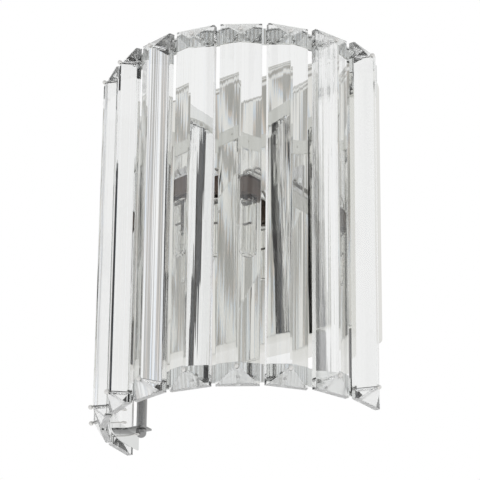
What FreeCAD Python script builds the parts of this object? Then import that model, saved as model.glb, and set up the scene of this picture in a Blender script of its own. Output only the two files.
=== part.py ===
import FreeCAD, Part
import math
import os
import Sketcher

V = FreeCAD.Vector
doc = FreeCAD.newDocument("CrystalWallSconce")

# Driving sizes, millimetres and degrees. The wall is the plane Y = 0 and the room is on the -Y side.
# The origin is midway between the wall bracket's two fixing slots. Z is up.
SIZES = {
    # the half ring of glass bars and the two bands that carry it
    "ring_radius": 97.0,
    "ring_stand_off": 24.0,
    "bar_count": 10,
    "bar_pitch_angle": 18.4,
    "bar_width": 27.5,
    "bar_length": 250.0,
    "bar_edge_land": 3.6,
    "bar_rise": 7.0,
    "bar_ridge_flat": 1.5,
    "bar_bevel_run": 10.0,
    "bar_bevel_lip": 0.5,
    "bar_hole": 2.4,
    "bar_overhang_above": 0.3,
    "bar_overhang_below": 3.3,
    # how far each bar, from the left, is turned on its pins
    "bar_turn_01": 0.0,
    "bar_turn_02": 1.5,
    "bar_turn_03": -1.0,
    "bar_turn_04": -4.0,
    "bar_turn_05": -5.5,
    "bar_turn_06": -2.0,
    "bar_turn_07": 1.5,
    "bar_turn_08": 5.0,
    "bar_turn_09": 7.0,
    "bar_turn_10": 4.5,
    "band_rise": 8.0,
    "band_clearance": 1.3,
    "band_thickness": 1.2,
    "band_height": 12.0,
    "top_tail": 12.0,
    "top_ear_drop": 12.0,
    "bottom_tail": 4.0,
    "pin_wire": 0.9,
    "pin_hole_clearance": 0.2,
    "pin_head_diameter": 3.2,
    "pin_head_seat": 1.9,
    "pin_short_tail": 1.6,
    "pin_long_tail": 6.0,
    "pin_eye_radius": 1.5,
    # mirror-faced back box
    "box_side_gap": 3.9,
    "box_above_band": 1.5,
    "box_height": 197.5,
    "box_depth": 36.0,
    "box_wall": 1.2,
    "box_top_corner": 14.0,
    "box_low_corner": 3.0,
    "box_front_edge": 1.2,
    # wall bracket inside the box, with its cable grommet
    "bracket_height": 24.0,
    "bracket_thickness": 1.5,
    "bracket_clearance": 0.3,
    "bracket_tab": 24.0,
    "slot_spacing": 60.0,
    "slot_width": 4.5,
    "slot_length": 12.0,
    "grommet_bore": 7.0,
    "grommet_wall": 1.6,
    "grommet_lip": 1.4,
    # screws through the top band's tails, spacers and box sides into the bracket
    "side_screw_stand_off": 17.0,
    "side_screw_drop": 12.0,
    "side_screw_diameter": 4.0,
    "side_screw_head": 7.0,
    "side_screw_dome": 2.2,
    "side_spacer_diameter": 8.0,
    "screw_hole_clearance": 0.3,
    # legs between the box and the bottom band
    "leg_diameter": 7.0,
    "leg_bore": 3.6,
    "leg_inset": 8.4,
    "leg_behind_front": 6.5,
    "lug_width": 11.0,
    "lug_thickness": 1.5,
    "lug_inset": 4.8,
    "stud_diameter": 3.0,
    "nut_across": 5.4,
    "nut_height": 2.4,
    "cap_nut_diameter": 7.0,
    "cap_nut_height": 5.6,
    # lamp arm and its fixings
    "lamp_stand_off": 68.5,
    "lamp_drop": 83.8,
    "arm_width": 22.0,
    "arm_thickness": 1.5,
    "arm_flange": 24.0,
    "arm_beyond": 8.0,
    "arm_screw_spacing": 15.0,
    "arm_screw_drop": 12.0,
    "small_screw_diameter": 3.0,
    "small_screw_head": 5.4,
    "small_screw_head_height": 1.8,
    "wire_hole": 7.0,
    # lampholder and lamp
    "holder_diameter": 17.0,
    "holder_height": 11.0,
    "socket_width": 12.0,
    "socket_thickness": 5.6,
    "socket_depth": 4.5,
    "contact_diameter": 3.2,
    "contact_length": 5.5,
    "contact_running_gap": 0.1,
    "holder_screw_depth": 5.0,
    "lamp_pin_spacing": 9.0,
    "lamp_pin_diameter": 1.0,
    "lamp_pin_length": 5.0,
    "lamp_base_width": 11.4,
    "lamp_base_thickness": 5.0,
    "lamp_base_height": 8.0,
    "lamp_diameter": 13.0,
    "lamp_length": 43.2,
    "lamp_glass": 1.0,
    "filament_drop": 20.0,
    "filament_diameter": 1.6,
    # wiring
    "block_inset": 30.0,
    "block_width": 22.0,
    "block_height": 16.0,
    "block_depth": 12.0,
    "pole_spacing": 12.0,
    "pole_hole": 3.0,
    "pole_screw_rise": 4.5,
    "pole_screw_diameter": 2.6,
    "pole_screw_length": 4.0,
    "block_screw_depth": 4.0,
    "earth_inset": 30.0,
    "lead_diameter": 1.8,
    "lead_gap": 2.6,
    "lead_run": 10.0,
    "lead_bend": 6.0,
    "lead_end": 2.5,
}

sheet = doc.addObject("Spreadsheet::Sheet", "Sizes")
for row, (alias, value) in enumerate(SIZES.items(), start=1):
    sheet.set("A%d" % row, alias)
    sheet.set("B%d" % row, str(value))
    sheet.setAlias("B%d" % row, alias)
doc.recompute()


def size(alias):
    """A value read back from the sheet."""
    return float(sheet.get(alias))


def ref(formula):
    """Put the sheet's name before each alias in a formula."""
    words = sorted(SIZES, key=len, reverse=True)
    out = formula
    for number, word in enumerate(words):
        out = out.replace(word, "@%d@" % number)
    for number, word in enumerate(words):
        out = out.replace("@%d@" % number, "Sizes." + word)
    return out


def placed(thing, x="0", y="0", z="0", axis=(0, 0, 1), angle="0"):
    """Bind an object's placement to formulas over the sheet."""
    place = "create(<<placement>>; create(<<vector>>; %s; %s; %s); " % (ref(x), ref(y), ref(z))
    place += "create(<<rotation>>; create(<<vector>>; %g; %g; %g); %s))" % (*axis, ref(angle))
    thing.setExpression("Placement", place)
    return thing


PARTS = []


def listed(thing, label):
    """Name an object as one sub-part of the sconce."""
    thing.Label = label
    PARTS.append(thing)
    return thing


def new_body(label):
    return listed(doc.addObject("PartDesign::Body", label), label)


def new_sketch(body, name, role):
    """A sketch on one of the body's own origin planes."""
    sketch = body.newObject("Sketcher::SketchObject", name)
    plane = [item for item in body.Origin.OriginFeatures if item.Role == role][0]
    sketch.AttachmentSupport = [(plane, "")]
    sketch.MapMode = "FlatFace"
    return sketch


def at(sketch, geometry, point, x, y):
    """Fix a point of the sketch at two formulas."""
    for kind, formula in (("DistanceX", x), ("DistanceY", y)):
        number = sketch.addConstraint(Sketcher.Constraint(kind, -1, 1, geometry, point, 1.0))
        sketch.setExpression("Constraints[%d]" % number, ref(formula))


def polygon(sketch, points):
    """A closed outline whose corners are pairs of formulas."""
    count = len(points)
    rough = [V(math.cos(6.283 * k / count), math.sin(6.283 * k / count), 0) for k in range(count)]
    first = sketch.GeometryCount
    for k in range(count):
        sketch.addGeometry(Part.LineSegment(rough[k], rough[(k + 1) % count]), False)
    for k in range(count):
        sketch.addConstraint(Sketcher.Constraint("Coincident", first + k, 2, first + (k + 1) % count, 1))
    for k, (x, y) in enumerate(points):
        at(sketch, first + k, 1, x, y)


def rectangle(sketch, left, right, low, high):
    polygon(sketch, [(left, low), (right, low), (right, high), (left, high)])


def circle(sketch, x, y, diameter):
    number = sketch.addGeometry(Part.Circle(V(0, 0, 0), V(0, 0, 1), 1.0), False)
    at(sketch, number, 3, x, y)
    tie = sketch.addConstraint(Sketcher.Constraint("Diameter", number, 2.0))
    sketch.setExpression("Constraints[%d]" % tie, ref(diameter))


def pad(body, sketch, length, both_sides=False, reverse=False):
    feature = body.newObject("PartDesign::Pad", body.Name + "Pad")
    feature.Profile = sketch
    feature.setExpression("Length", ref(length))
    feature.Midplane = both_sides
    feature.Reversed = reverse
    sketch.Visibility = False
    return feature


def pocket(body, sketch, length=None, both_sides=False, reverse=False):
    feature = body.newObject("PartDesign::Pocket", body.Name + "Pocket")
    feature.Profile = sketch
    if length is None:
        feature.Type = 1
    else:
        feature.setExpression("Length", ref(length))
    feature.Midplane = both_sides
    feature.Reversed = reverse
    return feature


def edges_on(feature, axis, place):
    """Names of the edges that lie wholly in one plane across an axis."""
    names = []
    for number, edge in enumerate(feature.Shape.Edges, start=1):
        box = edge.BoundBox
        low, high = (getattr(box, axis + side) for side in ("Min", "Max"))
        if abs(low - place) < 1e-4 and abs(high - place) < 1e-4:
            names.append("Edge%d" % number)
    return names


def fillet(body, feature, names, radius):
    rounding = body.newObject("PartDesign::Fillet", body.Name + "Fillet")
    rounding.Base = (feature, names)
    rounding.setExpression("Radius", ref(radius))
    return rounding


def cylinder(diameter, length, name="Rod"):
    solid = doc.addObject("Part::Cylinder", name)
    solid.setExpression("Radius", ref("(%s) / 2" % diameter))
    solid.setExpression("Height", ref(length))
    return solid


def fuse(label, shapes):
    joined = doc.addObject("Part::MultiFuse", label)
    joined.Shapes = shapes
    joined.Refine = True
    return joined


def cut(label, base, tool):
    rest = doc.addObject("Part::Cut", label)
    rest.Base = base
    rest.Tool = tool
    rest.Refine = True
    return rest


# Places that several pieces share
BAND_OUTER = "(ring_radius - bar_edge_land - band_clearance)"
BAND_INNER = "(ring_radius - bar_edge_land - band_clearance - band_thickness)"
RING_Y = "(-ring_stand_off)"
TOP_BAND_LOW = "(band_rise - band_height / 2)"
TOP_BAND_HIGH = "(band_rise + band_height / 2)"
BAR_TOP = "(band_rise + band_height / 2 + bar_overhang_above)"
BOTTOM_BAND_LOW = "(%s + bar_overhang_below - bar_length)" % BAR_TOP
LUG_LOW = "(%s + band_height - lug_thickness)" % BOTTOM_BAND_LOW
BOX_HALF = "(%s - box_side_gap)" % BAND_INNER
BOX_TOP = "(%s + box_above_band)" % TOP_BAND_HIGH
BOX_LOW = "(%s - box_height)" % BOX_TOP
BOX_FRONT = "(-box_depth)"
SIDE_SCREW_Z = "(band_rise - side_screw_drop)"
LEG_X = "(%s - leg_inset)" % BAND_INNER
LEG_Y = "(-box_depth + leg_behind_front)"
BLOCK_X = "(%s - block_inset)" % BOX_HALF
EARTH_X = "(%s - earth_inset)" % BOX_HALF
LAMP_Y = "(-lamp_stand_off)"
HOLDER_LOW = "(-lamp_drop)"
HOLDER_TOP = "(-lamp_drop + holder_height)"


def bar_angle(number):
    """Bearing of a bar from the wall's normal, the first bar at the viewer's left."""
    return "(bar_pitch_angle * (%d - (bar_count - 1) / 2))" % number


def around(item, number, radius, z):
    """Stand an object at a bar's bearing, its own Z axis pointing out from the ring's centre."""
    turn = bar_angle(number)
    tilt = "create(<<rotation>>; create(<<vector>>; 0; 0; 1); %s) * " % ref(turn)
    tilt += "create(<<rotation>>; create(<<vector>>; 1; 0; 0); 90)"
    x = "(%s) * sin(%s)" % (radius, turn)
    y = "%s - (%s) * cos(%s)" % (RING_Y, radius, turn)
    spot = "create(<<vector>>; %s; %s; %s)" % (ref(x), ref(y), ref(z))
    item.setExpression("Placement", "create(<<placement>>; %s; %s)" % (spot, tilt))
    return item


# One glass bar: flat face towards the bands, a ridge outwards, and both ends bevelled back from the ridge.
def glass_bar(number):
    body = new_body("crystal_bar_%02d" % (number + 1))
    section = new_sketch(body, body.Name + "Section", "XY_Plane")
    half, ridge = "bar_width / 2", "bar_ridge_flat / 2"
    polygon(section, [
        ("-" + half, "bar_edge_land"), ("-" + half, "0"), ("-" + ridge, "-bar_rise"), (ridge, "-bar_rise"),
        (half, "0"), (half, "bar_edge_land"),
    ])
    pad(body, section, "bar_length", reverse=True)
    doc.recompute()
    for name, end, inwards in (("Top", "0", "-"), ("Bottom", "-bar_length", "+")):
        outwards = "+" if inwards == "-" else "-"
        bevel = new_sketch(body, body.Name + name + "Bevel", "YZ_Plane")
        polygon(bevel, [
            ("-bar_bevel_lip", end),
            ("-bar_rise", "%s %s bar_bevel_run" % (end, inwards)),
            ("-bar_rise * 2 + bar_bevel_lip", "%s %s bar_bevel_run * 2" % (end, inwards)),
            ("-bar_rise * 2 + bar_bevel_lip", "%s %s bar_bevel_run / 5" % (end, outwards)),
            ("-bar_bevel_lip", "%s %s bar_bevel_run / 5" % (end, outwards)),
        ])
        pocket(body, bevel, both_sides=True)
    holes = new_sketch(body, body.Name + "PinHoles", "XZ_Plane")
    circle(holes, "0", "-(bar_overhang_above + band_height / 2)", "bar_hole")
    circle(holes, "0", "bar_overhang_below + band_height / 2 - bar_length", "bar_hole")
    pocket(body, holes, both_sides=True)
    bearing = bar_angle(number)
    facing = "%s + bar_turn_%02d" % (bearing, number + 1)
    place_y = "%s - ring_radius * cos(%s)" % (RING_Y, bearing)
    placed(body, "ring_radius * sin(%s)" % bearing, place_y, BAR_TOP, angle=facing)


def half_ring(label, radius, low, tail):
    """A solid D shape: a half cylinder towards the room and a straight run back to the wall side."""
    drum = cylinder("%s * 2" % radius, "band_height", label + "Drum")
    drum.Angle = 180
    placed(drum, "0", RING_Y, low, angle="180")
    back = doc.addObject("Part::Box", label + "Back")
    back.setExpression("Length", ref("%s * 2" % radius))
    back.setExpression("Width", ref(tail))
    back.setExpression("Height", ref("band_height"))
    placed(back, "-%s" % radius, RING_Y, low)
    return fuse(label + "Solid", [drum, back])


# A band is a half ring with straight tails and a small hole behind each bar.
def band_ring(label, low, tail):
    outer = half_ring(label + "Outer", BAND_OUTER, low, tail)
    inner = half_ring(label + "Inner", BAND_INNER, low, tail)
    return cut(label + "Ring", outer, inner)


def pin_holes(label, low):
    holes = []
    for number in range(int(size("bar_count"))):
        hole = cylinder("pin_wire + pin_hole_clearance", "band_thickness * 6", label + "PinHole")
        around(hole, number, "%s - band_thickness * 3" % BAND_INNER, "%s + band_height / 2" % low)
        holes.append(hole)
    return holes


def top_band():
    holes = pin_holes("top_band", TOP_BAND_LOW)
    hole = cylinder("side_screw_diameter + screw_hole_clearance", "ring_radius * 2", "TailHole")
    placed(hole, "-ring_radius", "-side_screw_stand_off", SIDE_SCREW_Z, axis=(0, 1, 0), angle="90")
    holes.append(hole)
    pieces = [band_ring("top_band", TOP_BAND_LOW, "top_tail")]
    for name, left in (("Left", "-" + BAND_OUTER), ("Right", BAND_INNER)):
        ear = doc.addObject("Part::Box", name + "Ear")
        ear.setExpression("Length", ref("band_thickness"))
        ear.setExpression("Width", ref("top_tail"))
        ear.setExpression("Height", ref("top_ear_drop + band_height"))
        pieces.append(placed(ear, left, RING_Y, "%s - top_ear_drop" % TOP_BAND_LOW))
    blank = fuse("top_band_blank", pieces)
    listed(cut("top_band", blank, fuse("top_band_holes", holes)), "top_band")


def bottom_band():
    holes = pin_holes("bottom_band", BOTTOM_BAND_LOW)
    pieces = [band_ring("bottom_band", BOTTOM_BAND_LOW, "bottom_tail")]
    outer_end = "(%s + band_thickness / 6)" % BAND_INNER
    inner_end = "(%s - lug_inset)" % LEG_X
    for name, left in (("Left", "-" + outer_end), ("Right", inner_end)):
        lug = doc.addObject("Part::Box", name + "Lug")
        lug.setExpression("Length", ref("%s - %s" % (outer_end, inner_end)))
        lug.setExpression("Width", ref("lug_width"))
        lug.setExpression("Height", ref("lug_thickness"))
        pieces.append(placed(lug, left, "%s - lug_width / 2" % LEG_Y, LUG_LOW))
    for sign in ("-", ""):
        hole = cylinder("stud_diameter + screw_hole_clearance", "lug_thickness * 3", "LugHole")
        holes.append(placed(hole, sign + LEG_X, LEG_Y, "%s - lug_thickness" % LUG_LOW))
    blank = fuse("bottom_band_blank", pieces)
    listed(cut("bottom_band", blank, fuse("bottom_band_holes", holes)), "bottom_band")


# Wire pins: a ball head on the bar's end bevel, the wire through bar and band, and the top ones cut short
# where the bottom ones end in an eye.
def pins(label, low, from_end, tail, eye):
    group = []
    z = "%s + band_height / 2" % low
    slope = "(bar_rise - bar_bevel_lip) / bar_bevel_run"
    head_at = "(ring_radius + bar_bevel_lip + %s * (%s) + pin_head_seat)" % (slope, from_end)
    for number in range(int(size("bar_count"))):
        bearing = bar_angle(number)
        head = doc.addObject("Part::Sphere", label + "Head")
        head.setExpression("Radius", ref("pin_head_diameter / 2"))
        around(head, number, head_at, z)
        wire = cylinder("pin_wire", "%s - %s + %s" % (head_at, BAND_INNER, tail), label + "Wire")
        around(wire, number, "%s - %s" % (BAND_INNER, tail), z)
        pieces = [head, wire]
        if eye:
            loop = doc.addObject("Part::Torus", label + "Eye")
            loop.setExpression("Radius1", ref("pin_eye_radius"))
            loop.setExpression("Radius2", ref("pin_wire / 2"))
            eye_at = "(%s - %s - pin_eye_radius)" % (BAND_INNER, tail)
            placed(loop, "%s * sin(%s)" % (eye_at, bearing), "%s - %s * cos(%s)" % (RING_Y, eye_at, bearing), z)
            pieces.append(loop)
        group.append(fuse(label + "Pin", pieces))
    gather(label, group)


def gather(label, group):
    """Several like pieces under one name, each still its own solid."""
    family = doc.addObject("Part::Compound", label)
    family.Links = group
    return listed(family, label)


# The box: a shallow tray, open at the wall, with a plain front that mirrors the glass.
def back_box():
    body = new_body("back_box")
    outline = new_sketch(body, "BoxOutline", "XZ_Plane")
    rectangle(outline, "-" + BOX_HALF, BOX_HALF, BOX_LOW, BOX_TOP)
    block = pad(body, outline, "box_depth")
    doc.recompute()
    block.Reversed = block.Shape.BoundBox.YMax > 1
    doc.recompute()
    bounds = block.Shape.BoundBox
    low_edges = [edge for edge in edges_on(block, "Z", bounds.ZMin) if along_y(block, edge)]
    rounded = fillet(body, block, low_edges, "box_low_corner")
    doc.recompute()
    high_edges = [edge for edge in edges_on(rounded, "Z", bounds.ZMax) if along_y(rounded, edge)]
    rounded = fillet(body, rounded, high_edges, "box_top_corner")
    doc.recompute()
    fillet(body, rounded, edges_on(rounded, "Y", bounds.YMin), "box_front_edge")
    doc.recompute()
    hollow = new_sketch(body, "BoxHollow", "XZ_Plane")
    side = "(%s - box_wall)" % BOX_HALF
    low = "(%s + box_wall)" % BOX_LOW
    outline = [("-" + side, low), (side, low)]
    for step in range(9):
        turn = 180 * step / 8
        across = "(%s - box_top_corner)" % BOX_HALF if turn <= 90 else "-(%s - box_top_corner)" % BOX_HALF
        if turn == 90:
            outline.append((across, "%s - box_wall" % BOX_TOP))
            across = "-" + across
        reach = "(box_top_corner - box_wall)"
        outline.append(("%s + %s * cos(%g)" % (across, reach, turn),
                        "%s - box_top_corner + %s * sin(%g)" % (BOX_TOP, reach, turn)))
    polygon(hollow, outline)
    pocket(body, hollow, "box_depth - box_wall", reverse=True)
    doc.recompute()
    legs = new_sketch(body, "BoxLegHoles", "XY_Plane")
    for sign in ("-", ""):
        circle(legs, sign + LEG_X, LEG_Y, "stud_diameter + screw_hole_clearance")
    pocket(body, legs, "-(%s) + box_wall * 2" % BOX_LOW)
    sides = new_sketch(body, "BoxSideHoles", "YZ_Plane")
    circle(sides, "-side_screw_stand_off", SIDE_SCREW_Z, "side_screw_diameter + screw_hole_clearance")
    pocket(body, sides, both_sides=True)
    front = new_sketch(body, "BoxFrontHoles", "XZ_Plane")
    arm_z = "%s + arm_flange - arm_screw_drop" % HOLDER_TOP
    circle(front, "0", arm_z, "wire_hole")
    for sign in ("-", ""):
        circle(front, sign + "arm_screw_spacing / 2", arm_z, "small_screw_diameter + screw_hole_clearance")
    pocket(body, front, both_sides=True)


def along_y(feature, edge):
    box = feature.Shape.getElement(edge).BoundBox
    return box.XLength < 1e-4 and box.ZLength < 1e-4


# A strap across the inside of the box, its ends bent forward to take the side screws and cut down to clear
# the box's round corners.
def wall_bracket():
    body = new_body("wall_bracket")
    outline = new_sketch(body, "BracketOutline", "XY_Plane")
    outer = "(%s - box_wall - bracket_clearance)" % BOX_HALF
    inner = "(%s - box_wall - bracket_clearance - bracket_thickness)" % BOX_HALF
    polygon(outline, [
        ("-" + outer, "0"), (outer, "0"), (outer, "-bracket_tab"), (inner, "-bracket_tab"),
        (inner, "-bracket_thickness"), ("-" + inner, "-bracket_thickness"), ("-" + inner, "-bracket_tab"),
        ("-" + outer, "-bracket_tab"),
    ])
    pad(body, outline, "bracket_height", both_sides=True)
    doc.recompute()
    corners = new_sketch(body, "BracketCorners", "XZ_Plane")
    near = "(%s - box_top_corner - bracket_clearance)" % BOX_HALF
    under = "(%s - box_top_corner - bracket_clearance)" % BOX_TOP
    rectangle(corners, "-%s" % BOX_HALF, "-" + near, under, "bracket_height")
    rectangle(corners, near, BOX_HALF, under, "bracket_height")
    pocket(body, corners, both_sides=True)
    tabs = new_sketch(body, "BracketTabHoles", "YZ_Plane")
    circle(tabs, "-side_screw_stand_off", SIDE_SCREW_Z, "side_screw_diameter")
    pocket(body, tabs, both_sides=True)
    slots = new_sketch(body, "BracketSlots", "XZ_Plane")
    for sign in ("-", ""):
        middle = sign + "slot_spacing / 2"
        rectangle(slots, "%s - slot_length / 2 + slot_width / 2" % middle,
                  "%s + slot_length / 2 - slot_width / 2" % middle, "-slot_width / 2", "slot_width / 2")
    pocket(body, slots, both_sides=True)
    for name, shift in (("Inner", "-"), ("Outer", "+")):
        ends = new_sketch(body, "BracketSlot%sEnds" % name, "XZ_Plane")
        for sign in ("-", ""):
            circle(ends, "%sslot_spacing / 2 %s (slot_length - slot_width) / 2" % (sign, shift), "0", "slot_width")
        pocket(body, ends, both_sides=True)
    holes = new_sketch(body, "BracketHoles", "XZ_Plane")
    circle(holes, "0", "0", "grommet_bore + grommet_wall * 2")
    circle(holes, BLOCK_X, "0", "small_screw_diameter")
    circle(holes, "-" + EARTH_X, "0", "small_screw_diameter")
    pocket(body, holes, both_sides=True)


def cable_grommet():
    barrel = cylinder("grommet_bore + grommet_wall * 2", "bracket_thickness + grommet_lip")
    lip = cylinder("grommet_bore + grommet_wall * 2 + grommet_lip * 2", "grommet_lip")
    bore = cylinder("grommet_bore", "bracket_thickness * 8")
    placed(barrel, axis=(1, 0, 0), angle="90")
    placed(lip, y="-bracket_thickness", axis=(1, 0, 0), angle="90")
    placed(bore, y="bracket_thickness * 4", axis=(1, 0, 0), angle="90")
    listed(cut("cable_grommet", fuse("GrommetBlank", [barrel, lip]), bore), "cable_grommet")


def domed_screw(name, head, dome, diameter, length):
    """A screw along its own Z axis: the shank below zero and a domed head above it."""
    shank = cylinder(diameter, length, name + "Shank")
    placed(shank, z="-(%s)" % length)
    ball = doc.addObject("Part::Sphere", name + "Dome")
    radius = "((%s) ^ 2 / 4 + (%s) ^ 2) / (2 * (%s))" % (head, dome, dome)
    ball.setExpression("Radius", ref(radius))
    placed(ball, z="%s - %s" % (dome, radius))
    disc = cylinder(head, dome, name + "Disc")
    cap = doc.addObject("Part::MultiCommon", name + "Cap")
    cap.Shapes = [ball, disc]
    return fuse(name, [shank, cap])


def side_fixings():
    screws, spacers = [], []
    reach = "band_thickness + box_side_gap + box_wall + bracket_clearance + bracket_thickness + side_screw_dome"
    for sign, turn in (("-", "-90"), ("", "90")):
        screw = domed_screw("SideScrew", "side_screw_head", "side_screw_dome", "side_screw_diameter", reach)
        placed(screw, sign + BAND_OUTER, "-side_screw_stand_off", SIDE_SCREW_Z, axis=(0, 1, 0), angle=turn)
        screws.append(screw)
        ring = cylinder("side_spacer_diameter", "box_side_gap", "SpacerRing")
        bore = cylinder("side_screw_diameter + screw_hole_clearance", "box_side_gap", "SpacerBore")
        spacer = cut("SideSpacer", ring, bore)
        placed(spacer, sign + BOX_HALF, "-side_screw_stand_off", SIDE_SCREW_Z, axis=(0, 1, 0), angle=turn)
        spacers.append(spacer)
    gather("side_screws", screws)
    gather("side_spacers", spacers)


# Tubes under the box carry the bottom band; a stud in each is nutted inside the box and below the lug.
def legs():
    studs, nuts, caps = [], [], []
    foot = "(%s + lug_thickness)" % LUG_LOW
    for label, sign in (("left_leg", "-"), ("right_leg", "")):
        tube = cylinder("leg_diameter", "%s - %s" % (BOX_LOW, foot), label + "Tube")
        bore = cylinder("leg_bore", "%s - %s" % (BOX_LOW, foot), label + "Bore")
        leg = cut(label, tube, bore)
        listed(placed(leg, sign + LEG_X, LEG_Y, foot), label)
        low = "(%s - cap_nut_height * 0.6)" % LUG_LOW
        stud = cylinder("stud_diameter", "%s + box_wall + nut_height + 1 - %s" % (BOX_LOW, low), "Stud")
        studs.append(placed(stud, sign + LEG_X, LEG_Y, low))
        nut = doc.addObject("Part::Prism", "NutBlank")
        nut.Polygon = 6
        nut.setExpression("Circumradius", ref("nut_across / 2 / cos(30)"))
        nut.setExpression("Height", ref("nut_height"))
        placed(nut, angle="30")
        thread = cylinder("stud_diameter", "nut_height", "NutThread")
        nuts.append(placed(cut("LegNut", nut, thread), sign + LEG_X, LEG_Y, "%s + box_wall" % BOX_LOW))
        collar = cylinder("cap_nut_diameter", "cap_nut_height / 2", "CapCollar")
        placed(collar, z="-cap_nut_height / 2")
        ball = doc.addObject("Part::Sphere", "CapBall")
        ball.setExpression("Radius", ref("cap_nut_diameter / 2"))
        placed(ball, z="cap_nut_diameter / 2 - cap_nut_height")
        core = cylinder("cap_nut_diameter", "cap_nut_height", "CapCore")
        placed(core, z="-cap_nut_height")
        dome = doc.addObject("Part::MultiCommon", "CapDome")
        dome.Shapes = [ball, core]
        thread = cylinder("stud_diameter", "cap_nut_height * 0.6", "CapThread")
        placed(thread, z="-cap_nut_height * 0.6")
        cap = cut("CapNut", fuse("CapBlank", [collar, dome]), thread)
        caps.append(placed(cap, sign + LEG_X, LEG_Y, LUG_LOW))
    gather("leg_studs", studs)
    gather("leg_nuts", nuts)
    gather("leg_cap_nuts", caps)


# A bent strap: flange on the box's face, shelf over the lampholder.
def lamp_arm():
    body = new_body("lamp_arm")
    profile = new_sketch(body, "ArmProfile", "YZ_Plane")
    face = BOX_FRONT
    skin = "(-box_depth - arm_thickness)"
    tip = "(-lamp_stand_off - arm_beyond)"
    polygon(profile, [
        (face, HOLDER_TOP), (face, HOLDER_TOP + " + arm_flange"), (skin, HOLDER_TOP + " + arm_flange"),
        (skin, HOLDER_TOP + " + arm_thickness"), (tip, HOLDER_TOP + " + arm_thickness"), (tip, HOLDER_TOP),
    ])
    pad(body, profile, "arm_width", both_sides=True)
    doc.recompute()
    front = new_sketch(body, "ArmFaceHoles", "XZ_Plane")
    arm_z = "%s + arm_flange - arm_screw_drop" % HOLDER_TOP
    circle(front, "0", arm_z, "wire_hole")
    for sign in ("-", ""):
        circle(front, sign + "arm_screw_spacing / 2", arm_z, "small_screw_diameter + screw_hole_clearance")
    pocket(body, front, both_sides=True)
    shelf = new_sketch(body, "ArmShelfHoles", "XY_Plane")
    circle(shelf, "0", LAMP_Y, "small_screw_diameter + screw_hole_clearance")
    for sign in ("-", ""):
        circle(shelf, sign + "lamp_pin_spacing / 2", LAMP_Y, "lead_diameter + screw_hole_clearance")
    pocket(body, shelf, both_sides=True)


def arm_fixings():
    screws, nuts = [], []
    arm_z = "%s + arm_flange - arm_screw_drop" % HOLDER_TOP
    for sign in ("-", ""):
        x = sign + "arm_screw_spacing / 2"
        screw = domed_screw("ArmScrew", "small_screw_head", "small_screw_head_height", "small_screw_diameter",
                            "arm_thickness + box_wall + nut_height + 1")
        screws.append(placed(screw, x, "-box_depth - arm_thickness", arm_z, axis=(1, 0, 0), angle="90"))
        nut = doc.addObject("Part::Prism", "ArmNutBlank")
        nut.Polygon = 6
        nut.setExpression("Circumradius", ref("nut_across / 2 / cos(30)"))
        nut.setExpression("Height", ref("nut_height"))
        thread = cylinder("small_screw_diameter", "nut_height", "ArmNutThread")
        fixed = cut("ArmNut", nut, thread)
        nuts.append(placed(fixed, x, "%s + box_wall" % BOX_FRONT, arm_z, axis=(1, 0, 0), angle="-90"))
    gather("arm_screws", screws)
    gather("arm_nuts", nuts)
    screw = domed_screw("HolderScrew", "small_screw_head", "small_screw_head_height", "small_screw_diameter",
                        "arm_thickness + holder_screw_depth")
    listed(placed(screw, "0", LAMP_Y, "%s + arm_thickness" % HOLDER_TOP), "holder_screw")


def lampholder():
    body = new_body("lampholder_body")
    outline = new_sketch(body, "HolderOutline", "XY_Plane")
    circle(outline, "0", "0", "holder_diameter")
    pad(body, outline, "holder_height")
    doc.recompute()
    socket = new_sketch(body, "HolderSocket", "XY_Plane")
    rectangle(socket, "-socket_width / 2", "socket_width / 2", "-socket_thickness / 2", "socket_thickness / 2")
    pocket(body, socket, "socket_depth", reverse=True)
    doc.recompute()
    bores = new_sketch(body, "HolderBores", "XY_Plane")
    for sign in ("-", ""):
        circle(bores, sign + "lamp_pin_spacing / 2", "0", "contact_diameter")
    pocket(body, bores, "holder_height", reverse=True)
    doc.recompute()
    screw = cylinder("small_screw_diameter", "holder_screw_depth", "HolderThread")
    placed(screw, "0", LAMP_Y, "%s - holder_screw_depth" % HOLDER_TOP)
    placed(body, "0", LAMP_Y, HOLDER_LOW)
    PARTS.remove(body)
    body.Label = "HolderBlank"
    listed(cut("lampholder_body_threaded", body, screw), "lampholder_body")
    sleeves = []
    for sign in ("-", ""):
        outer = cylinder("contact_diameter", "contact_length", "SleeveOuter")
        bore = cylinder("lamp_pin_diameter + contact_running_gap", "contact_length", "SleeveBore")
        sleeve = cut("ContactSleeve", outer, bore)
        sleeves.append(placed(sleeve, sign + "lamp_pin_spacing / 2", LAMP_Y, "%s + socket_depth" % HOLDER_LOW))
    gather("holder_contacts", sleeves)


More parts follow.
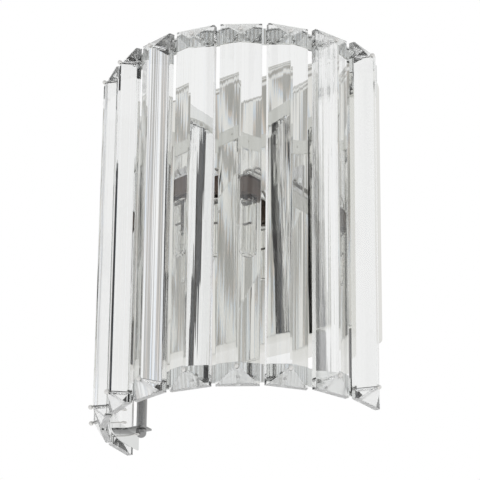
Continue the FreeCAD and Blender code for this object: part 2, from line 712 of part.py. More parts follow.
# The lamp: a clear capsule hanging from a flat pinched base with two pins.
def lamp():
    body = new_body("lamp_glass")
    base_top = "socket_depth - 0.2"
    outer = "lamp_diameter / 2"
    base_low = "(socket_depth - 0.2 - lamp_base_height)"
    bottom = "(-lamp_length)"
    profile = new_sketch(body, "CapsuleProfile", "XZ_Plane")
    wall = "lamp_glass"
    polygon(profile, [
        ("0", bottom), ("%s * 0.55" % outer, "%s + %s * 0.16" % (bottom, outer)),
        ("%s * 0.87" % outer, "%s + %s * 0.5" % (bottom, outer)), (outer, "%s + %s" % (bottom, outer)),
        (outer, base_low), ("0", base_low), ("0", "%s - %s" % (base_low, wall)),
        ("%s - %s" % (outer, wall), "%s - %s" % (base_low, wall)),
        ("%s - %s" % (outer, wall), "%s + %s" % (bottom, outer)),
        ("(%s - %s) * 0.87" % (outer, wall), "%s + %s * 0.5 + %s * 0.5" % (bottom, outer, wall)),
        ("(%s - %s) * 0.55" % (outer, wall), "%s + %s * 0.16 + %s * 0.84" % (bottom, outer, wall)),
        ("0", "%s + %s" % (bottom, wall)),
    ])
    spin = body.newObject("PartDesign::Revolution", "CapsuleSpin")
    spin.Profile = profile
    spin.ReferenceAxis = (profile, ["V_Axis"])
    spin.Angle = 360
    doc.recompute()
    base = new_sketch(body, "BaseOutline", "XZ_Plane")
    rectangle(base, "-lamp_base_width / 2", "lamp_base_width / 2", base_low + " - lamp_glass / 2", base_top)
    pad(body, base, "lamp_base_thickness", both_sides=True)
    doc.recompute()
    wires = new_sketch(body, "WireHoles", "XY_Plane")
    for sign in ("-", ""):
        circle(wires, sign + "lamp_pin_spacing / 2", "0", "lamp_pin_diameter")
    pocket(body, wires, "(lamp_base_height + lamp_glass * 2) * 2", both_sides=True)
    placed(body, "0", LAMP_Y, HOLDER_LOW)
    pins_made = []
    for sign in ("-", ""):
        pin = cylinder("lamp_pin_diameter", "socket_depth - 0.2 + lamp_pin_length + filament_drop", "LampPin")
        pins_made.append(placed(pin, sign + "lamp_pin_spacing / 2", LAMP_Y, "%s - filament_drop" % HOLDER_LOW))
    gather("lamp_pins", pins_made)
    coil = cylinder("filament_diameter", "lamp_pin_spacing - lamp_pin_diameter", "Coil")
    placed(coil, "-(lamp_pin_spacing - lamp_pin_diameter) / 2", LAMP_Y,
           "%s - filament_drop + filament_diameter / 2" % HOLDER_LOW, axis=(0, 1, 0), angle="90")
    listed(coil, "lamp_filament")


def wiring():
    block = doc.addObject("Part::Box", "BlockBlank")
    block.setExpression("Length", ref("block_width"))
    block.setExpression("Width", ref("block_depth"))
    block.setExpression("Height", ref("block_height"))
    placed(block, BLOCK_X + " - block_width / 2", "-bracket_thickness - block_depth", "-block_height / 2")
    holes, screws = [], []
    middle = "(-bracket_thickness - block_depth / 2)"
    for sign in ("-", "+"):
        x = "%s %s pole_spacing / 2" % (BLOCK_X, sign)
        pole = cylinder("pole_hole", "block_height * 2", "PoleHole")
        holes.append(placed(pole, x, middle, "-block_height"))
        for up in ("-", ""):
            hole = cylinder("pole_screw_diameter", "block_depth / 2", "PoleScrewHole")
            spot = dict(x=x, y=middle, z=up + "pole_screw_rise", axis=(1, 0, 0), angle="90")
            holes.append(placed(hole, **spot))
            screw = cylinder("pole_screw_diameter", "pole_screw_length", "PoleScrew")
            spot["y"] = "-bracket_thickness - block_depth + pole_screw_length + 0.3"
            screws.append(placed(screw, **spot))
    sunk = cylinder("small_screw_head", "block_depth - block_screw_depth", "BlockSink")
    holes.append(placed(sunk, BLOCK_X, "-bracket_thickness - block_screw_depth", "0", (1, 0, 0), "90"))
    shaft = cylinder("small_screw_diameter", "block_depth * 2", "BlockBore")
    holes.append(placed(shaft, BLOCK_X, "0", "0", (1, 0, 0), "90"))
    listed(cut("terminal_block", block, fuse("BlockHoles", holes)), "terminal_block")
    gather("terminal_screws", screws)
    fixing = domed_screw("BlockScrew", "small_screw_head", "small_screw_head_height", "small_screw_diameter",
                         "block_screw_depth + bracket_thickness")
    listed(placed(fixing, BLOCK_X, "-bracket_thickness - block_screw_depth", "0", (1, 0, 0), "90"),
           "block_screw")
    earth = domed_screw("EarthScrew", "side_screw_head", "side_screw_dome", "small_screw_diameter",
                        "bracket_thickness")
    listed(placed(earth, "-" + EARTH_X, "-bracket_thickness", "0", (1, 0, 0), "90"), "earth_screw")


def rounded_route(points, bend):
    """Straight runs through the points, joined by arcs of one radius."""
    edges = []
    start = points[0]
    for before, corner, after in zip(points, points[1:], points[2:]):
        into = (corner - before).normalize()
        out = (after - corner).normalize()
        turn = into.getAngle(out)
        reach = bend * math.tan(turn / 2)
        first = corner - into * reach
        last = corner + out * reach
        middle = corner + (out - into).normalize() * (bend / math.cos(turn / 2) - bend)
        edges.append(Part.makeLine(start, first))
        edges.append(Part.Arc(first, middle, last).toShape())
        start = last
    edges.append(Part.makeLine(start, points[-1]))
    return edges


def lead(label, side):
    """A wire from a holder contact, over the arm, through the box's face and up to the terminal block."""
    half_pins = side * size("lamp_pin_spacing") / 2
    half_gap = side * size("lead_gap") / 2
    arm_z = size("holder_height") - size("lamp_drop") + size("arm_flange") - size("arm_screw_drop")
    contact_z = size("socket_depth") + size("contact_length") - size("lamp_drop")
    lamp_y, face = -size("lamp_stand_off"), -size("box_depth")
    band_inner = size("ring_radius") - size("bar_edge_land") - size("band_clearance") - size("band_thickness")
    block_x = band_inner - size("box_side_gap") - size("block_inset")
    pole_x = block_x + side * size("pole_spacing") / 2
    pole_y = -size("bracket_thickness") - size("block_depth") / 2
    entry_z = -size("block_height") / 2
    points = [
        V(half_pins, lamp_y, contact_z),
        V(half_pins, lamp_y, arm_z),
        V(half_gap, face - size("lead_run"), arm_z),
        V(half_gap, face + size("lead_run") * (1.2 - 0.3 * side), arm_z),
        V(pole_x, pole_y, entry_z - size("lead_run") * 3),
        V(pole_x, pole_y, entry_z + size("lead_end")),
    ]
    pieces = []
    for edge in rounded_route(points, size("lead_bend")):
        along = edge.tangentAt(edge.FirstParameter)
        circle_here = Part.makeCircle(size("lead_diameter") / 2, edge.valueAt(edge.FirstParameter), along)
        pieces.append(Part.Wire([edge]).makePipeShell([Part.Wire([circle_here])], True, False))
    wire = doc.addObject("Part::Feature", label)
    wire.Shape = pieces[0].multiFuse(pieces[1:]).removeSplitter()
    listed(wire, label)


top_band()
bottom_band()
for number in range(int(size("bar_count"))):
    glass_bar(number)
pins("top_pins", TOP_BAND_LOW, "bar_overhang_above + band_height / 2", "pin_short_tail", eye=False)
pins("bottom_pins", BOTTOM_BAND_LOW, "bar_overhang_below + band_height / 2", "pin_long_tail", eye=True)
back_box()
wall_bracket()
cable_grommet()
side_fixings()
legs()
lamp_arm()
arm_fixings()
lampholder()
lamp()
wiring()
lead("live_lead", -1)
lead("neutral_lead", 1)

doc.recompute()
faults = []
for item in doc.Objects:
    if "Invalid" in item.State or "Error" in item.State:
        faults.append(item.Label)
for part in PARTS:
    if part.Shape.isNull() or not part.Shape.isValid():
        faults.append(part.Label + " shape")
if faults:
    raise RuntimeError("unusable: " + ", ".join(faults))

os.makedirs("parts", exist_ok=True)
for part in PARTS:
    part.Shape.exportStep("parts/%s.step" % part.Label)
    print("%-18s %d solid(s) %.1f mm3" % (part.Label, len(part.Shape.Solids), part.Shape.Volume))
print(len(PARTS), "parts")
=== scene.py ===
import bpy
import bmesh
import math
from mathutils import Matrix, Vector


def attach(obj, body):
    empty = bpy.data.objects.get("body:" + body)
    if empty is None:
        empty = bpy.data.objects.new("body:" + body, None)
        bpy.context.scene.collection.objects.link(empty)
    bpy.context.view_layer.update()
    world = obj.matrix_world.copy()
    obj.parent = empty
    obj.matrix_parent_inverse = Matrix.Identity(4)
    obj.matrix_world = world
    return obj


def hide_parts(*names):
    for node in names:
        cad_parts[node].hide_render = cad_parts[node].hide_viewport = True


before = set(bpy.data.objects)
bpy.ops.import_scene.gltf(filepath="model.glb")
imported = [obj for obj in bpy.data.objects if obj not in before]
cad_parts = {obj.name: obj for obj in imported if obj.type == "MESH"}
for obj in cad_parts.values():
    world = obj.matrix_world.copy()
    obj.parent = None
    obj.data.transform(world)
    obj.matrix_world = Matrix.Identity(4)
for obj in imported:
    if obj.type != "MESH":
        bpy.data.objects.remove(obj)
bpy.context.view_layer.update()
scene = bpy.context.scene
mm = 0.001

# places shared with the CAD frame, in millimetres
ring = {"y": -24.0, "bars": 10, "pitch": 18.4, "bandInner": 90.9, "bandWall": 1.2}
heights = {"topBand": 8.0, "bottomBand": -226.4, "bandHeight": 12.0, "boxTop": 15.5, "boxLow": -182.0}
lugSpot = {"x": 84.4, "y": -29.5}


# materials
noiseSpan = {"low": 0.35, "high": 0.65}
bumpDepth = {"metal": 0.0002, "plain": 0.0003}
noiseDetail = {"smudge": 4, "ripple": 2, "metal": 5, "plain": 6}


def newMaterial(name):
    material = bpy.data.materials.new(name)
    material.use_nodes = True
    nodes, links = material.node_tree.nodes, material.node_tree.links
    return material, nodes, links, nodes["Principled BSDF"]


def noiseOn(nodes, links, scale, detail, stretch=(1, 1, 1)):
    coords = nodes.new("ShaderNodeTexCoord")
    mapping = nodes.new("ShaderNodeMapping")
    mapping.inputs["Scale"].default_value = stretch
    noise = nodes.new("ShaderNodeTexNoise")
    noise.inputs["Scale"].default_value = scale
    noise.inputs["Detail"].default_value = detail
    links.new(coords.outputs["Object"], mapping.inputs["Vector"])
    links.new(mapping.outputs["Vector"], noise.inputs["Vector"])
    return noise


def roughBy(nodes, links, cloud, rough, shader):
    spread = nodes.new("ShaderNodeMapRange")
    spread.inputs["From Min"].default_value = noiseSpan["low"]
    spread.inputs["From Max"].default_value = noiseSpan["high"]
    spread.inputs["To Min"].default_value, spread.inputs["To Max"].default_value = rough
    links.new(cloud.outputs["Fac"], spread.inputs["Value"])
    links.new(spread.outputs["Result"], shader.inputs["Roughness"])


def bumpBy(nodes, links, cloud, strength, distance, shader):
    bump = nodes.new("ShaderNodeBump")
    bump.inputs["Strength"].default_value = strength
    bump.inputs["Distance"].default_value = distance
    links.new(cloud.outputs["Fac"], bump.inputs["Height"])
    links.new(bump.outputs["Normal"], shader.inputs["Normal"])


def glassMaterial(name, look):
    material, nodes, links, shader = newMaterial(name)
    shader.inputs["Base Color"].default_value = (*look["tint"], 1)
    shader.inputs["Transmission Weight"].default_value = look["clear"]
    shader.inputs["IOR"].default_value = look["ior"]
    cloud = noiseOn(nodes, links, look["smudgeScale"], noiseDetail["smudge"])
    roughBy(nodes, links, cloud, look["rough"], shader)
    streak = noiseOn(nodes, links, look["rippleScale"], noiseDetail["ripple"], look["rippleStretch"])
    bumpBy(nodes, links, streak, look["ripple"], look["rippleDepth"], shader)
    return material


def wornColor(nodes, links, cloud, look, shader):
    tone = nodes.new("ShaderNodeMix")
    tone.data_type = "RGBA"
    tone.inputs["A"].default_value = (*look["color"], 1)
    tone.inputs["B"].default_value = (*[c * look["wear"] for c in look["color"]], 1)
    links.new(cloud.outputs["Fac"], tone.inputs["Factor"])
    links.new(tone.outputs["Result"], shader.inputs["Base Color"])


def metalMaterial(name, look):
    material, nodes, links, shader = newMaterial(name)
    shader.inputs["Metallic"].default_value = 1.0
    cloud = noiseOn(nodes, links, look["scale"], noiseDetail["metal"], look.get("stretch", (1, 1, 1)))
    roughBy(nodes, links, cloud, look["rough"], shader)
    wornColor(nodes, links, cloud, look, shader)
    bumpBy(nodes, links, cloud, look["bump"], bumpDepth["metal"], shader)
    return material


def plainMaterial(name, look):
    material, nodes, links, shader = newMaterial(name)
    cloud = noiseOn(nodes, links, look["scale"], noiseDetail["plain"])
    wornColor(nodes, links, cloud, look, shader)
    roughBy(nodes, links, cloud, look["rough"], shader)
    bumpBy(nodes, links, cloud, look["bump"], bumpDepth["plain"], shader)
    return material


barGlass = glassMaterial("barGlass", {
    "tint": (0.965, 0.97, 0.965), "clear": 1.0, "ior": 1.58, "rough": (0.0, 0.012), "smudgeScale": 60,
    "rippleScale": 230, "rippleStretch": (1, 1, 0.006), "ripple": 0.21, "rippleDepth": 0.0002})
groundEnd = glassMaterial("groundEnd", {
    "tint": (0.93, 0.935, 0.93), "clear": 0.45, "ior": 1.58, "rough": (0.30, 0.42), "smudgeScale": 220,
    "rippleScale": 500, "rippleStretch": (1, 1, 1), "ripple": 0.15, "rippleDepth": 0.0002})
bevelGlass = glassMaterial("bevelGlass", {
    "tint": (0.955, 0.96, 0.955), "clear": 0.66, "ior": 1.58, "rough": (0.0, 0.03), "smudgeScale": 120,
    "rippleScale": 260, "rippleStretch": (1, 1, 1), "ripple": 0.08, "rippleDepth": 0.0002})
lampGlass = glassMaterial("lampGlass", {
    "tint": (0.985, 0.985, 0.975), "clear": 1.0, "ior": 1.47, "rough": (0.0, 0.01), "smudgeScale": 200,
    "rippleScale": 300, "rippleStretch": (1, 1, 0.3), "ripple": 0.1, "rippleDepth": 0.0001})
bandChrome = metalMaterial("bandChrome", {
    "color": (0.80, 0.81, 0.80), "wear": 0.95, "rough": (0.02, 0.06), "scale": 90, "bump": 0.02})
# darker copy of the band chrome for the legs, cap nuts and lugs: its low base colour is painted dark
# reflection on parts that are bright chrome
darkReflectionChrome = metalMaterial("darkReflectionChrome", {
    "color": (0.34, 0.34, 0.34), "wear": 0.9, "rough": (0.03, 0.08), "scale": 90, "bump": 0.02})
mirrorSheet = metalMaterial("mirrorSheet", {
    "color": (0.78, 0.775, 0.74), "wear": 0.97, "rough": (0.01, 0.035), "scale": 30, "bump": 0.01})
pinWire = metalMaterial("pinWire", {
    "color": (0.84, 0.83, 0.81), "wear": 0.9, "rough": (0.08, 0.16), "scale": 500, "bump": 0.05})
zincSteel = metalMaterial("zincSteel", {
    "color": (0.62, 0.63, 0.64), "wear": 0.8, "rough": (0.25, 0.42), "scale": 160, "bump": 0.1})
nickelStrap = metalMaterial("nickelStrap", {
    "color": (0.66, 0.66, 0.65), "wear": 0.9, "rough": (0.06, 0.12), "scale": 220,
    "bump": 0.04, "stretch": (1, 8, 8)})
contactBrass = metalMaterial("contactBrass", {
    "color": (0.70, 0.55, 0.27), "wear": 0.8, "rough": (0.2, 0.35), "scale": 250, "bump": 0.05})
tungsten = metalMaterial("tungsten", {
    "color": (0.30, 0.29, 0.28), "wear": 0.8, "rough": (0.35, 0.5), "scale": 900, "bump": 0.1})
holderCeramic = plainMaterial("holderCeramic", {
    "color": (0.15, 0.105, 0.082), "wear": 0.8, "rough": (0.35, 0.55), "scale": 300, "bump": 0.12})
whiteNylon = plainMaterial("whiteNylon", {
    "color": (0.80, 0.80, 0.78), "wear": 0.93, "rough": (0.4, 0.55), "scale": 200, "bump": 0.05})
grommetRubber = plainMaterial("grommetRubber", {
    "color": (0.03, 0.03, 0.03), "wear": 0.7, "rough": (0.6, 0.8), "scale": 260, "bump": 0.1})
liveSleeve = plainMaterial("liveSleeve", {
    "color": (0.70, 0.69, 0.66), "wear": 0.93, "rough": (0.45, 0.6), "scale": 400, "bump": 0.2})
neutralSleeve = plainMaterial("neutralSleeve", {
    "color": (0.72, 0.71, 0.68), "wear": 0.9, "rough": (0.45, 0.6), "scale": 400, "bump": 0.2})
print("materials made")


# making pieces
joining = {"fine": 1e-7, "coarse": 1e-6, "flatAngle": 0.5}


def addPiece(name, mesh, material, body, nodes):
    piece = bpy.data.objects.new(name, mesh)
    scene.collection.objects.link(piece)
    mesh.materials.append(material)
    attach(piece, body)
    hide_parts(*nodes)
    return piece


def toMesh(bm, name, smoothUnder=35):
    bmesh.ops.recalc_face_normals(bm, faces=bm.faces)
    for face in bm.faces:
        face.smooth = True
    for edge in bm.edges:
        if len(edge.link_faces) == 2:
            edge.smooth = edge.calc_face_angle() < math.radians(smoothUnder)
    mesh = bpy.data.meshes.new(name)
    bm.to_mesh(mesh)
    bm.free()
    return mesh


def mergedCopy(node):
    bm = bmesh.new()
    bm.from_mesh(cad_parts[node].data)
    bmesh.ops.remove_doubles(bm, verts=bm.verts, dist=joining["coarse"])
    flat = math.radians(joining["flatAngle"])
    bmesh.ops.dissolve_limit(bm, angle_limit=flat, verts=bm.verts, edges=bm.edges)
    return bm


def eased(bm, edges, reach, segments, clamp=False):
    bmesh.ops.bevel(bm, geom=edges, offset=reach * mm, segments=segments, profile=0.5, affect="EDGES",
                    material=-1, clamp_overlap=clamp)


def turned(bm, profile, place, steps=48):
    older = set(bm.verts)
    verts = [bm.verts.new((r * mm, 0, z * mm)) for r, z in profile]
    edges = [bm.edges.new((a, b)) for a, b in zip(verts, verts[1:])]
    bmesh.ops.spin(bm, geom=verts + edges, axis=(0, 0, 1), cent=(0, 0, 0), angle=math.tau,
                   steps=steps, use_merge=True)
    made = [vert for vert in bm.verts if vert not in older]
    bmesh.ops.remove_doubles(bm, verts=made, dist=joining["fine"])
    made = [vert for vert in made if vert.is_valid]
    bmesh.ops.transform(bm, matrix=place, verts=made)


def movedTo(x, y, z):
    return Matrix.Translation(Vector((x, y, z)) * mm)


def blockTo(spot, dims):
    return movedTo(*spot) @ Matrix.Diagonal((*[d * mm for d in dims], 1))


def arcAngles(steps, angle):
    return [k * angle / steps for k in range(steps + 1)]


def faceMoved(bm, faces, distance):
    run = bmesh.ops.extrude_face_region(bm, geom=faces)
    corners = [item for item in run["geom"] if isinstance(item, bmesh.types.BMVert)]
    bmesh.ops.translate(bm, verts=corners, vec=(0, distance * mm, 0))
    return [item for item in run["geom"] if isinstance(item, bmesh.types.BMFace)]


def pointing(spot, direction):
    turn = Vector(direction).to_track_quat("Z", "Y").to_matrix().to_4x4()
    return Matrix.Translation(Vector(spot) * mm) @ turn


def bearing(number):
    return math.radians(ring["pitch"] * (number - (ring["bars"] - 1) / 2))


def onRing(number, radius, z):
    turn = bearing(number)
    return Vector((radius * math.sin(turn), ring["y"] - radius * math.cos(turn), z))


# glass bars: clear along the length, ground at the ends, slightly milky on the end bevels
barLook = {"edge": 0.35, "segments": 2, "sharpAngle": 12, "shortest": 1.5, "smoothUnder": 5}
barFaces = {"endFrom": 0.99, "bevelFrom": 0.45, "bevelTo": 0.65}
for number in range(ring["bars"]):
    node = "crystal_bar_%02d" % (number + 1)
    bm = mergedCopy(node)
    ridges = []
    for edge in bm.edges:
        if len(edge.link_faces) == 2 and edge.calc_length() > barLook["shortest"] * mm:
            if edge.calc_face_angle() > math.radians(barLook["sharpAngle"]):
                ridges.append(edge)
    eased(bm, ridges, barLook["edge"], barLook["segments"], True)
    for face in bm.faces:
        steep = abs(face.normal.z)
        if steep > barFaces["endFrom"]:
            face.material_index = 1
        elif barFaces["bevelFrom"] < steep < barFaces["bevelTo"]:
            face.material_index = 2
    mesh = toMesh(bm, node + "Look", barLook["smoothUnder"])
    bar = addPiece("glassBar%02d" % (number + 1), mesh, barGlass, "sconce", [node])
    bar.data.materials.append(groundEnd)
    bar.data.materials.append(bevelGlass)
print("bars made")


# bands
bandLook = {"ease": 0.25, "steps": 96, "topTail": 12.0, "bottomTail": 4.0}
lugLook = {"size": (13.4, 11.0, 1.5), "ease": 0.3}
earLook = {"drop": 12.0, "thinner": 0.1, "overlap": 0.3, "ease": 0.3}
insideFace = {"near": 1e-5, "turned": 0.99, "area": 5e-6}


def easedBlock(bm, spot, dims, ease, finish=0):
    corners = bmesh.ops.create_cube(bm, size=1, matrix=blockTo(spot, dims))["verts"]
    for face in bm.faces:
        if face.verts[0] in corners:
            face.material_index = finish
    eased(bm, [edge for edge in bm.edges if edge.verts[0] in corners], ease, 2)


# the faces left inside the band where its tails meet the half ring
def acrossRing(face):
    level = abs(face.calc_center_median().y - ring["y"] * mm) < insideFace["near"]
    return level and abs(face.normal.y) > insideFace["turned"] and face.calc_area() > insideFace["area"]


def bandPiece(name, node, mid, tail, lugs, ears):
    bm = bmesh.new()
    inner, outer = ring["bandInner"], ring["bandInner"] + ring["bandWall"]
    half, ease = heights["bandHeight"] / 2, bandLook["ease"]
    low, high = mid - half, mid + half
    outline = [(inner, low + ease), (inner + ease, low), (outer - ease, low), (outer, low + ease),
               (outer, high - ease), (outer - ease, high), (inner + ease, high), (inner, high - ease)]
    start = bm.faces.new([bm.verts.new((r * mm, (ring["y"] + tail) * mm, z * mm)) for r, z in outline])
    end = faceMoved(bm, [start], -tail)
    swept = bmesh.ops.spin(bm, geom=end, axis=(0, 0, 1), cent=(0, ring["y"] * mm, 0), angle=-math.pi,
                           steps=bandLook["steps"])
    last = [item for item in swept["geom_last"] if isinstance(item, bmesh.types.BMFace)]
    faceMoved(bm, last, tail)
    bmesh.ops.delete(bm, geom=[face for face in bm.faces if acrossRing(face)], context="FACES")
    bmesh.ops.remove_doubles(bm, verts=bm.verts, dist=joining["coarse"])
    for side in lugs:
        spot = (side * lugSpot["x"], lugSpot["y"], high - lugLook["size"][2] / 2)
        easedBlock(bm, spot, lugLook["size"], lugLook["ease"], 1)
    for side in ears:
        drop, overlap = earLook["drop"], earLook["overlap"]
        spot = (side * (inner + outer) / 2, ring["y"] + tail / 2, low - drop / 2 + overlap)
        dims = (ring["bandWall"] - earLook["thinner"], tail, drop + 2 * overlap)
        easedBlock(bm, spot, dims, earLook["ease"])
    band = addPiece(name, toMesh(bm, name), bandChrome, "sconce", [node])
    # the lugs take the darker chrome copy, whose base colour is painted dark reflection
    band.data.materials.append(darkReflectionChrome)


bandPiece("topBandRing", "top_band", heights["topBand"], bandLook["topTail"], (), (-1, 1))
bandPiece("bottomBandRing", "bottom_band", heights["bottomBand"], bandLook["bottomTail"], (-1, 1), ())


# wire pins
pinLook = {"wire": 0.45, "ball": 1.6, "ease": 0.2, "tip": 0.6, "eye": 1.5, "arcSteps": 12}
pinTurns = {"pin": 20, "eye": 32}
topPin = {"head": 103.5, "tail": 1.6, "eye": False}
bottomPin = {"head": 105.45, "tail": 6.0, "eye": True}


def pinSet(name, node, mid, pin):
    bm = bmesh.new()
    head, inside = pin["head"], ring["bandInner"] - pin["tail"]
    deep = head - inside
    wire, ball, eye = pinLook["wire"], pinLook["ball"], pinLook["eye"]
    neck = math.pi - math.asin(wire / ball)
    profile = [(ball * math.sin(a), ball * math.cos(a)) for a in arcAngles(pinLook["arcSteps"], neck)]
    profile += [(wire, -deep + pinLook["ease"]), (wire * pinLook["tip"], -deep), (0, -deep)]
    around = arcAngles(pinLook["arcSteps"], math.tau)
    loop = [(eye + wire * math.cos(a), wire * math.sin(a)) for a in around]
    for number in range(ring["bars"]):
        out = onRing(number, 1, 0) - onRing(number, 0, 0)
        turned(bm, profile, pointing(onRing(number, head, mid), out), pinTurns["pin"])
        if pin["eye"]:
            spot = onRing(number, inside - eye, mid)
            turned(bm, loop, pointing(spot, (0, 0, 1)), pinTurns["eye"])
    addPiece(name, toMesh(bm, name), pinWire, "sconce", [node])


pinSet("topPinWires", "top_pins", heights["topBand"], topPin)
pinSet("bottomPinWires", "bottom_pins", heights["bottomBand"], bottomPin)
print("bands and pins made")


# mirror-faced box
boxLook = {"halfWidth": 87.0, "depth": 36.0, "wall": 1.2, "frontEdge": 1.2, "edgeSteps": 4}
boxCorners = [{"top": False, "radius": 3.0, "steps": 6}, {"top": True, "radius": 14.0, "steps": 14}]
boxPick = {"near": 1e-6, "squareFrom": 60, "backFrom": 0.9, "smoothUnder": 30}


def runsDeep(edge, isTop):
    first, second = [vert.co for vert in edge.verts]
    middle = (heights["boxTop"] + heights["boxLow"]) / 2
    if abs(first.y - second.y) < boxLook["depth"] / 2 * mm or (first.z > middle * mm) != isTop:
        return False
    atSide = abs(abs(first.x) - boxLook["halfWidth"] * mm) < boxPick["near"]
    return atSide and edge.calc_face_angle() > math.radians(boxPick["squareFrom"])


def onFront(edge):
    return all(abs(vert.co.y + boxLook["depth"] * mm) < boxPick["near"] for vert in edge.verts)


bm = bmesh.new()
high, low = heights["boxTop"], heights["boxLow"]
dims = (boxLook["halfWidth"] * 2, boxLook["depth"], high - low)
place = blockTo((0, -boxLook["depth"] / 2, (high + low) / 2), dims)
bmesh.ops.create_cube(bm, size=1, matrix=place)
for corner in boxCorners:
    deep = [edge for edge in bm.edges if runsDeep(edge, corner["top"])]
    eased(bm, deep, corner["radius"], corner["steps"])
rim = [edge for edge in bm.edges if onFront(edge)]
eased(bm, rim, boxLook["frontEdge"], boxLook["edgeSteps"])
back = [face for face in bm.faces if face.normal.y > boxPick["backFrom"]]
bmesh.ops.delete(bm, geom=back, context="FACES")
mesh = toMesh(bm, "mirrorBox", boxPick["smoothUnder"])
mirrorBox = addPiece("mirrorBox", mesh, mirrorSheet, "sconce", ["back_box"])
wall = mirrorBox.modifiers.new("sheetWall", "SOLIDIFY")
wall.thickness = boxLook["wall"] * mm
wall.offset = -1
print("box made")


# legs and cap nuts
legLook = {"across": 82.5, "radius": 3.5, "bore": 1.8, "ease": 0.3}
nutLook = {"radius": 3.5, "tall": 5.6, "ease": 0.3, "lift": 0.01, "arcSteps": 10}
bandTop = heights["bottomBand"] + heights["bandHeight"] / 2
for side, node in ((-1, "left_leg"), (1, "right_leg")):
    bm = bmesh.new()
    radius, bore, ease = legLook["radius"], legLook["bore"], legLook["ease"]
    tall = heights["boxLow"] - bandTop
    profile = [(bore, 0), (radius - ease, 0), (radius, ease), (radius, tall - ease), (radius - ease, tall),
               (bore, tall), (bore, 0)]
    turned(bm, profile, movedTo(side * legLook["across"], lugSpot["y"], bandTop))
    addPiece(node + "Tube", toMesh(bm, node + "Tube"), darkReflectionChrome, "sconce", [node])
bm = bmesh.new()
radius, ease, lift = nutLook["radius"], nutLook["ease"], nutLook["lift"]
dome = [(radius * math.cos(a), radius - nutLook["tall"] - radius * math.sin(a))
        for a in arcAngles(nutLook["arcSteps"], math.pi / 2)]
profile = [(0, -lift), (radius - ease, -lift), (radius, -ease)] + dome
for side in (-1, 1):
    turned(bm, profile, movedTo(side * legLook["across"], lugSpot["y"], bandTop - lugLook["size"][2]))
addPiece("legCapNuts", toMesh(bm, "legCapNuts"), darkReflectionChrome, "sconce", ["leg_cap_nuts"])
print("legs made")

# pieces shown as they come from the frame, by finish
finishes = [
    (bandChrome, ["side_screws", "side_spacers", "arm_screws"]),
    (zincSteel, ["wall_bracket", "leg_studs", "leg_nuts", "arm_nuts", "holder_screw", "block_screw"]),
    (contactBrass, ["holder_contacts", "terminal_screws", "earth_screw"]),
    (grommetRubber, ["cable_grommet"]),
    (nickelStrap, ["lamp_arm"]),
    (holderCeramic, ["lampholder_body"]),
    (lampGlass, ["lamp_glass"]),
    (pinWire, ["lamp_pins"]),
    (tungsten, ["lamp_filament"]),
    (whiteNylon, ["terminal_block"]),
    (liveSleeve, ["live_lead"]),
    (neutralSleeve, ["neutral_lead"]),
]
for material, names in finishes:
    for node in names:
        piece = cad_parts[node]
        piece.data.materials.clear()
        piece.data.materials.append(material)
print("small pieces dressed")


# camera, with its focal length and shifts in pixels of the square picture
shot = {
    "focal": 2383.4, "distance": 1608.76, "azimuth": 32.17, "elevation": -22.0, "roll": 0.51,
    "shiftX": 11.01, "shiftY": 17.56, "picture": 480, "sensor": 36, "centreZ": -112.0, "clip": 0.05}
turn, rise = math.radians(shot["azimuth"]), math.radians(shot["elevation"])
back = Vector((math.sin(turn) * math.cos(rise), -math.cos(turn) * math.cos(rise), math.sin(rise)))
centre = Vector((0, ring["y"], shot["centreZ"]))
camera = bpy.data.objects.new("photoCamera", bpy.data.cameras.new("photoCamera"))
scene.collection.objects.link(camera)
camera.data.sensor_width = shot["sensor"]
camera.data.lens = shot["focal"] / shot["picture"] * shot["sensor"]
camera.data.shift_x = -shot["shiftX"] / shot["picture"]
camera.data.shift_y = shot["shiftY"] / shot["picture"]
camera.data.clip_start = shot["clip"]
camera.location = (centre + back * shot["distance"]) * mm
camera.rotation_mode = "QUATERNION"
roll = Matrix.Rotation(math.radians(shot["roll"]), 3, "Z").to_quaternion()
camera.rotation_quaternion = (-back).to_track_quat("-Z", "Y") @ roll
scene.camera = camera

# floor: paper that mirror and glass see wholly, and the camera partly, as an even pale glow
paperLook = {"z": -0.80, "size": 6, "tone": 0.86, "rough": 0.9, "glow": 0.88, "cameraShare": 0.6}
floor = bpy.data.meshes.new("floor")
bm = bmesh.new()
place = Matrix.Translation((0, 0, paperLook["z"]))
bmesh.ops.create_grid(bm, x_segments=1, y_segments=1, size=paperLook["size"], matrix=place)
bm.to_mesh(floor)
bm.free()
floorPiece = bpy.data.objects.new("floor", floor)
scene.collection.objects.link(floorPiece)
floorMaterial, nodes, links, shader = newMaterial("floorPaper")
shader.inputs["Base Color"].default_value = (*[paperLook["tone"]] * 3, 1)
shader.inputs["Roughness"].default_value = paperLook["rough"]
path = nodes.new("ShaderNodeLightPath")
either = nodes.new("ShaderNodeMath")
either.operation = "MAXIMUM"
links.new(path.outputs["Is Glossy Ray"], either.inputs[0])
links.new(path.outputs["Is Transmission Ray"], either.inputs[1])
share = nodes.new("ShaderNodeMath")
share.operation = "MULTIPLY_ADD"
share.inputs[1].default_value = paperLook["cameraShare"]
links.new(path.outputs["Is Camera Ray"], share.inputs[0])
links.new(either.outputs[0], share.inputs[2])
paper = nodes.new("ShaderNodeEmission")
paper.inputs["Strength"].default_value = paperLook["glow"]
blend = nodes.new("ShaderNodeMixShader")
links.new(share.outputs[0], blend.inputs[0])
links.new(shader.outputs[0], blend.inputs[1])
links.new(paper.outputs[0], blend.inputs[2])
links.new(blend.outputs[0], nodes["Material Output"].inputs["Surface"])
floor.materials.append(floorMaterial)

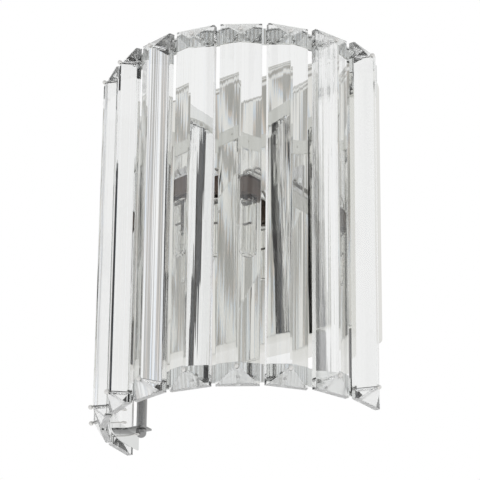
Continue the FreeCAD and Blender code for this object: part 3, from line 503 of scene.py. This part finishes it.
# the camera sees white; metal and glass see the wall side, and bright and dim panels on the room side
studio = {"ambient": 0.55, "wallSide": (0.90, 0.90, 0.90), "roomFrom": -0.30, "roomTo": 0.05}
panelLook = {"scale": 6.0, "warp": 3.0}
panelTones = [
    (0.2, (0.46, 0.46, 0.45)), (0.42, (0.78, 0.69, 0.62)),
    (0.58, (0.66, 0.77, 0.92)), (0.8, (0.95, 0.95, 0.95))]
world = bpy.data.worlds.new("studioWorld")
scene.world = world
world.use_nodes = True
nodes, links = world.node_tree.nodes, world.node_tree.links
nodes.clear()
heading = nodes.new("ShaderNodeTexCoord")
split = nodes.new("ShaderNodeSeparateXYZ")
links.new(heading.outputs["Generated"], split.inputs[0])
panels = nodes.new("ShaderNodeTexWave")
panels.bands_direction = "X"
panels.inputs["Scale"].default_value = panelLook["scale"]
panels.inputs["Distortion"].default_value = panelLook["warp"]
around = nodes.new("ShaderNodeMath")
around.operation = "ARCTAN2"
links.new(split.outputs["X"], around.inputs[0])
links.new(split.outputs["Y"], around.inputs[1])
across = nodes.new("ShaderNodeCombineXYZ")
links.new(around.outputs[0], across.inputs["X"])
links.new(across.outputs[0], panels.inputs["Vector"])
room = nodes.new("ShaderNodeValToRGB")
stops = room.color_ramp.elements
stops[0].position, stops[1].position = panelTones[0][0], panelTones[-1][0]
stops[0].color, stops[1].color = (*panelTones[0][1], 1), (*panelTones[-1][1], 1)
for spot, color in panelTones[1:-1]:
    stops.new(spot).color = (*color, 1)
links.new(panels.outputs["Fac"], room.inputs["Fac"])
wallSide = nodes.new("ShaderNodeMapRange")
wallSide.inputs["From Min"].default_value = studio["roomFrom"]
wallSide.inputs["From Max"].default_value = studio["roomTo"]
links.new(split.outputs["Y"], wallSide.inputs["Value"])
tone = nodes.new("ShaderNodeMix")
tone.data_type = "RGBA"
tone.inputs["B"].default_value = (*studio["wallSide"], 1)
links.new(wallSide.outputs["Result"], tone.inputs["Factor"])
links.new(room.outputs["Color"], tone.inputs["A"])


def skyOf(strength, color=None):
    sky = nodes.new("ShaderNodeBackground")
    sky.inputs["Color"].default_value = (1, 1, 1, 1)
    sky.inputs["Strength"].default_value = strength
    if color:
        links.new(color, sky.inputs["Color"])
    return sky


def chosenBy(ray, off, on):
    pick = nodes.new("ShaderNodeMixShader")
    links.new(ray, pick.inputs[0])
    links.new(off.outputs[0], pick.inputs[1])
    links.new(on.outputs[0], pick.inputs[2])
    return pick


rays = nodes.new("ShaderNodeLightPath")
seen = skyOf(1, tone.outputs["Result"])
sky = chosenBy(rays.outputs["Is Glossy Ray"], skyOf(studio["ambient"]), seen)
sky = chosenBy(rays.outputs["Is Transmission Ray"], sky, seen)
sky = chosenBy(rays.outputs["Is Camera Ray"], sky, skyOf(1))
out = nodes.new("ShaderNodeOutputWorld")
links.new(sky.outputs[0], out.inputs["Surface"])

# softboxes, which the mirror and the glass don't show
softboxes = [
    {"name": "keySoftbox", "spot": (-1.1, -1.5, 0.9), "size": (0.9, 0.9), "power": 14},
    {"name": "fillSoftbox", "spot": (1.4, -1.2, 0.1), "size": (0.9, 1.2), "power": 9},
    {"name": "topSoftbox", "spot": (0.0, 0.2, 1.5), "size": (1.4, 1.0), "power": 9},
]
for item in softboxes:
    light = bpy.data.lights.new(item["name"], "AREA")
    light.shape = "RECTANGLE"
    light.size, light.size_y = item["size"]
    light.energy = item["power"]
    softbox = bpy.data.objects.new(item["name"], light)
    scene.collection.objects.link(softbox)
    softbox.location = item["spot"]
    softbox.visible_glossy = False
    softbox.visible_transmission = False
    softbox.rotation_mode = "QUATERNION"
    softbox.rotation_quaternion = (Vector(item["spot"]) - centre * mm).to_track_quat("Z", "Y")

scene.view_settings.view_transform = "Standard"
print("stage set")
